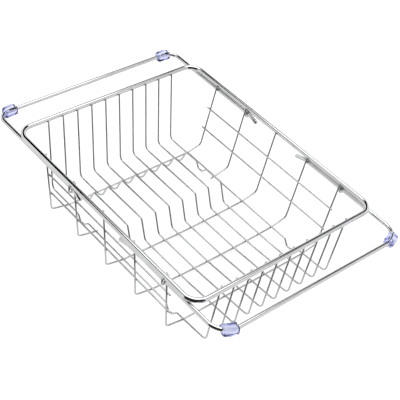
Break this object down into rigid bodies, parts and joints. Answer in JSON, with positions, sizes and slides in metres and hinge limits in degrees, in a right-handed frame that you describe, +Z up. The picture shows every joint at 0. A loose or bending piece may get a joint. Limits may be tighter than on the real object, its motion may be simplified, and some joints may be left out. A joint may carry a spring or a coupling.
{
  "type": "dish drying rack",
  "caption": "welded wire dish basket with a round rim, a raised wire run for plates, pressed feet and sliding U-shaped arms with soft grips that span a sink",
  "frame": {"origin": "on the table, under the middle of the rim", "axes": "+X to the right along the long side, +Y to the rear, +Z up"},
  "size_m": [0.4055, 0.2676, 0.1016],
  "materials": {
    "rim": "bright polished stainless wire, 6 mm",
    "grid_wire": "bright polished stainless wire, 2.2 mm, spot welded",
    "arm_rod": "bright polished stainless rod, 5 mm",
    "grip": "clear pale blue soft moulded plastic"
  },
  "bodies": {
    "basket": {"rim": "rim", "long_wire_1": "grid_wire", "long_wire_2": "grid_wire", "long_wire_3": "grid_wire", "long_wire_4": "grid_wire", "long_wire_5": "grid_wire", "long_wire_6": "grid_wire", "long_wire_7": "grid_wire", "long_wire_8": "grid_wire", "long_wire_9": "grid_wire", "long_wire_10": "grid_wire", "cross_wire_1": "grid_wire", "cross_wire_2_front": "grid_wire", "cross_wire_2_rear": "grid_wire", "cross_wire_3": "grid_wire", "cross_wire_4": "grid_wire", "cross_wire_5": "grid_wire", "side_rail_front_upper": "grid_wire", "side_rail_front_lower": "grid_wire", "side_rail_rear_upper": "grid_wire", "side_rail_rear_lower": "grid_wire", "guide_loop_front_left": "grid_wire", "guide_loop_front_right": "grid_wire", "guide_loop_rear_left": "grid_wire", "guide_loop_rear_right": "grid_wire"},
    "left_arm": {"arm_left": "arm_rod", "grip_left_front": "grip", "grip_left_rear": "grip"},
    "right_arm": {"arm_right": "arm_rod", "grip_right_front": "grip", "grip_right_rear": "grip"}
  },
  "joints": [
    {"name": "left_arm_slide", "type": "slide", "parent": "basket", "child": "left_arm", "axis": [1, 0, 0], "range_m": [0, 0.0295]},
    {"name": "right_arm_slide", "type": "slide", "parent": "basket", "child": "right_arm", "axis": [1, 0, 0], "range_m": [-0.028, 0.056]}
  ]
}
